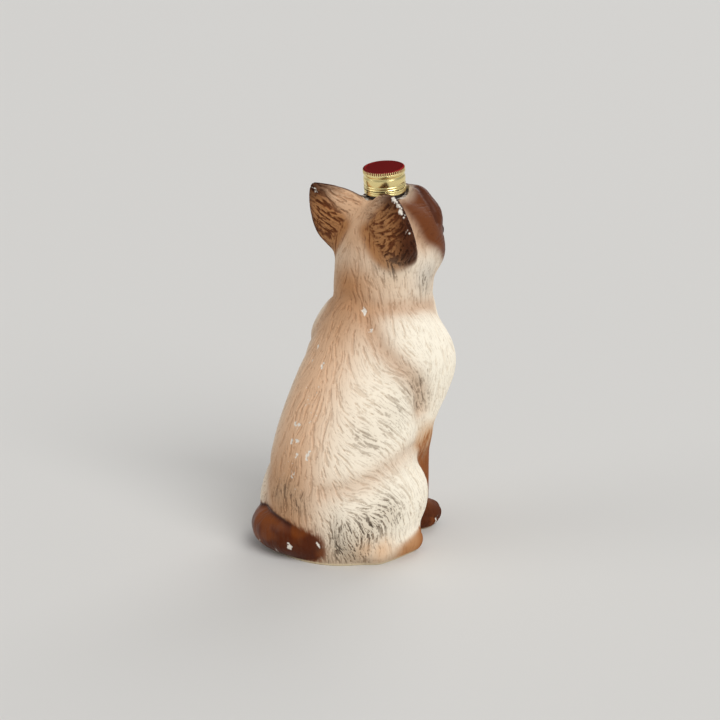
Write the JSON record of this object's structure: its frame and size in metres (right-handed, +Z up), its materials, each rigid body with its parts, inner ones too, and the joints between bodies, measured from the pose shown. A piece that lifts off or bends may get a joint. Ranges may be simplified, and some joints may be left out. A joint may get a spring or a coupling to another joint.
{
  "type": "figural ceramic decanter",
  "caption": "Seated-cat decanter: hollow slip-cast ceramic figure with cupped ears and a tail round the foot, a cemented neck on the crown and a roll-on screw cap with a tamper ring.",
  "frame": {"origin": "middle of the flat foot, on the surface it stands on", "axes": "+Z up, -Y the way the cat faces, +X the cat's left, where the tail lies"},
  "size_m": [0.1167, 0.1476, 0.2574],
  "materials": {
    "ceramic_figure": "matt fired bisque, airbrushed cream, tan and dark brown",
    "neck_finish": "moulded, dark brown, glossy",
    "neck_cement": "set plaster cement, rough",
    "tamper_ring": "gold lacquer on rolled sheet",
    "cap_shell": "gold lacquer on drawn sheet, dark red lacquer on the top",
    "cap_wad": "pressed pulpboard",
    "seal_disc": "pressed cork"
  },
  "bodies": {
    "decanter": {"ceramic_figure": "ceramic_figure", "neck_cement": "neck_cement", "neck_finish": "neck_finish"},
    "tamper_ring": {"tamper_ring": "tamper_ring"},
    "seal_disc": {"seal_disc": "seal_disc"},
    "cap_wad": {"cap_wad": "cap_wad"},
    "cap_shell": {"cap_shell": "cap_shell"}
  },
  "joints": [
    {"name": "cap_lift", "type": "slide", "parent": "decanter", "child": "seal_disc", "axis": [-0.0518, 0.1476, 0.9877], "range_m": [0, 0.08]},
    {"name": "cap_rise", "type": "slide", "parent": "seal_disc", "child": "cap_wad", "axis": [-0.0518, 0.1476, 0.9877], "range_m": [0, 0.0048]},
    {"name": "cap_turn", "type": "hinge", "parent": "cap_wad", "child": "cap_shell", "pos_m": [-0.00052, -0.03702, 0.24838], "axis": [-0.0518, 0.1476, 0.9877], "range_deg": [0, 540]},
    {"name": "tamper_ring_spin", "type": "hinge", "parent": "decanter", "child": "tamper_ring", "pos_m": [-0.00008, -0.03826, 0.24008], "axis": [-0.0518, 0.1476, 0.9877], "continuous": true}
  ],
  "couplings": [
    {"joint": "cap_rise", "follows": "cap_turn", "m_per_rad": 0.00050532}
  ]
}
